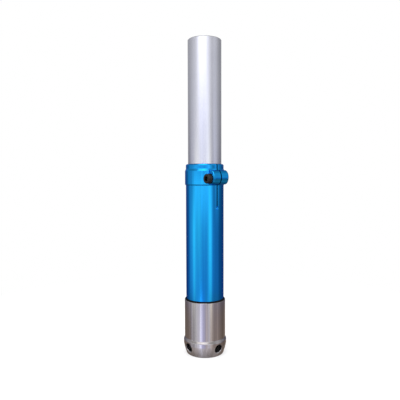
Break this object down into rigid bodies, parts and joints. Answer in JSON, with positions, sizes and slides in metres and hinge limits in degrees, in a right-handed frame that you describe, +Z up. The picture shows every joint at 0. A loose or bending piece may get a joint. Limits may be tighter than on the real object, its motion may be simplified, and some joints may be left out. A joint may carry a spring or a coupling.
{
  "type": "shock-absorbing prosthetic shank",
  "caption": "Telescoping shock and torsion shank for a below-knee prosthesis: pylon tube, split-clamp housing and pyramid receiver cup.",
  "frame": {"origin": "centre of the receiver's bottom rim", "axes": "+Z up the shank towards the socket, +Y towards the front of the leg, +X towards its right; the clamp's slit faces -Y"},
  "size_m": [0.0386, 0.0429, 0.2815],
  "materials": {
    "stainless": "fine turned, bright",
    "hardened_steel": "ground",
    "zinc_steel": "zinc plated",
    "spring_steel": "shot-peened, oiled",
    "black_oxide": "black oxide, oiled",
    "bronze": "machined bearing bronze",
    "blue_anodised": "bright-dipped and blue anodised",
    "silver_anodised": "satin, clear anodised",
    "black_rubber": "matte",
    "bumper_polymer": "translucent polyurethane",
    "bearing_polymer": "natural acetal"
  },
  "bodies": {
    "receiver": {"receiver_cup": "stainless", "guide_shaft": "hardened_steel", "shaft_key": "hardened_steel", "shaft_bolt": "black_oxide", "locating_dowel": "hardened_steel", "bump_ring": "bumper_polymer", "wiper_seal": "black_rubber", "lower_spring_seat": "zinc_steel", "compression_spring": "spring_steel", "rebound_bumper": "bumper_polymer", "rebound_washer": "zinc_steel", "lock_nut": "zinc_steel"},
    "torsion_core": {"upper_spring_seat": "zinc_steel", "torsion_core": "bronze", "torsion_rubber": "black_rubber", "thrust_washer": "bearing_polymer"},
    "housing": {"torsion_sleeve": "zinc_steel", "clamp_housing": "blue_anodised", "guide_ring": "bearing_polymer", "retaining_ring": "spring_steel", "upper_guide_bush": "bearing_polymer"},
    "pylon": {"pylon_tube": "silver_anodised"},
    "bolt_washer": {"clamp_washer": "black_oxide"},
    "bolt": {"clamp_bolt": "black_oxide"},
    "screw_right": {"set_screw_right": "black_oxide"},
    "screw_front": {"set_screw_front": "black_oxide"},
    "screw_left": {"set_screw_left": "black_oxide"},
    "screw_rear": {"set_screw_rear": "black_oxide"}
  },
  "joints": [
    {"name": "shock_travel", "type": "slide", "parent": "receiver", "child": "torsion_core", "axis": [0, 0, -1], "range_m": [0, 0.008], "stiffness_N_per_m": 76000, "springref_m": -0.002, "deforming": ["compression_spring"]},
    {"name": "torsion_turn", "type": "hinge", "parent": "torsion_core", "child": "housing", "pos_m": [0, 0, 0.0875], "axis": [0, 0, 1], "range_deg": [-15, 15], "stiffness_Nm_per_rad": 57},
    {"name": "tube_length", "type": "slide", "parent": "housing", "child": "pylon", "axis": [0, 0, 1], "range_m": [-0.007, 0.015]},
    {"name": "clamp_washer_travel", "type": "slide", "parent": "housing", "child": "bolt_washer", "axis": [-1, 0, 0], "range_m": [0, 0.0016]},
    {"name": "clamp_bolt_turn", "type": "hinge", "parent": "bolt_washer", "child": "bolt", "pos_m": [-0.0088, -0.0182, 0.1585], "axis": [-1, 0, 0], "range_deg": [0, 720]},
    {"name": "set_screw_right_travel", "type": "slide", "parent": "receiver", "child": "screw_right", "axis": [-0.9659, 0, 0.2588], "range_m": [-0.001, 0.0025]},
    {"name": "set_screw_front_travel", "type": "slide", "parent": "receiver", "child": "screw_front", "axis": [0, -0.9659, 0.2588], "range_m": [-0.001, 0.0025]},
    {"name": "set_screw_left_travel", "type": "slide", "parent": "receiver", "child": "screw_left", "axis": [0.9659, 0, 0.2588], "range_m": [-0.001, 0.0025]},
    {"name": "set_screw_rear_travel", "type": "slide", "parent": "receiver", "child": "screw_rear", "axis": [0, 0.9659, 0.2588], "range_m": [-0.001, 0.0025]}
  ],
  "couplings": [
    {"joint": "clamp_bolt_turn", "follows": "clamp_washer_travel", "rad_per_m": 7853.9}
  ]
}
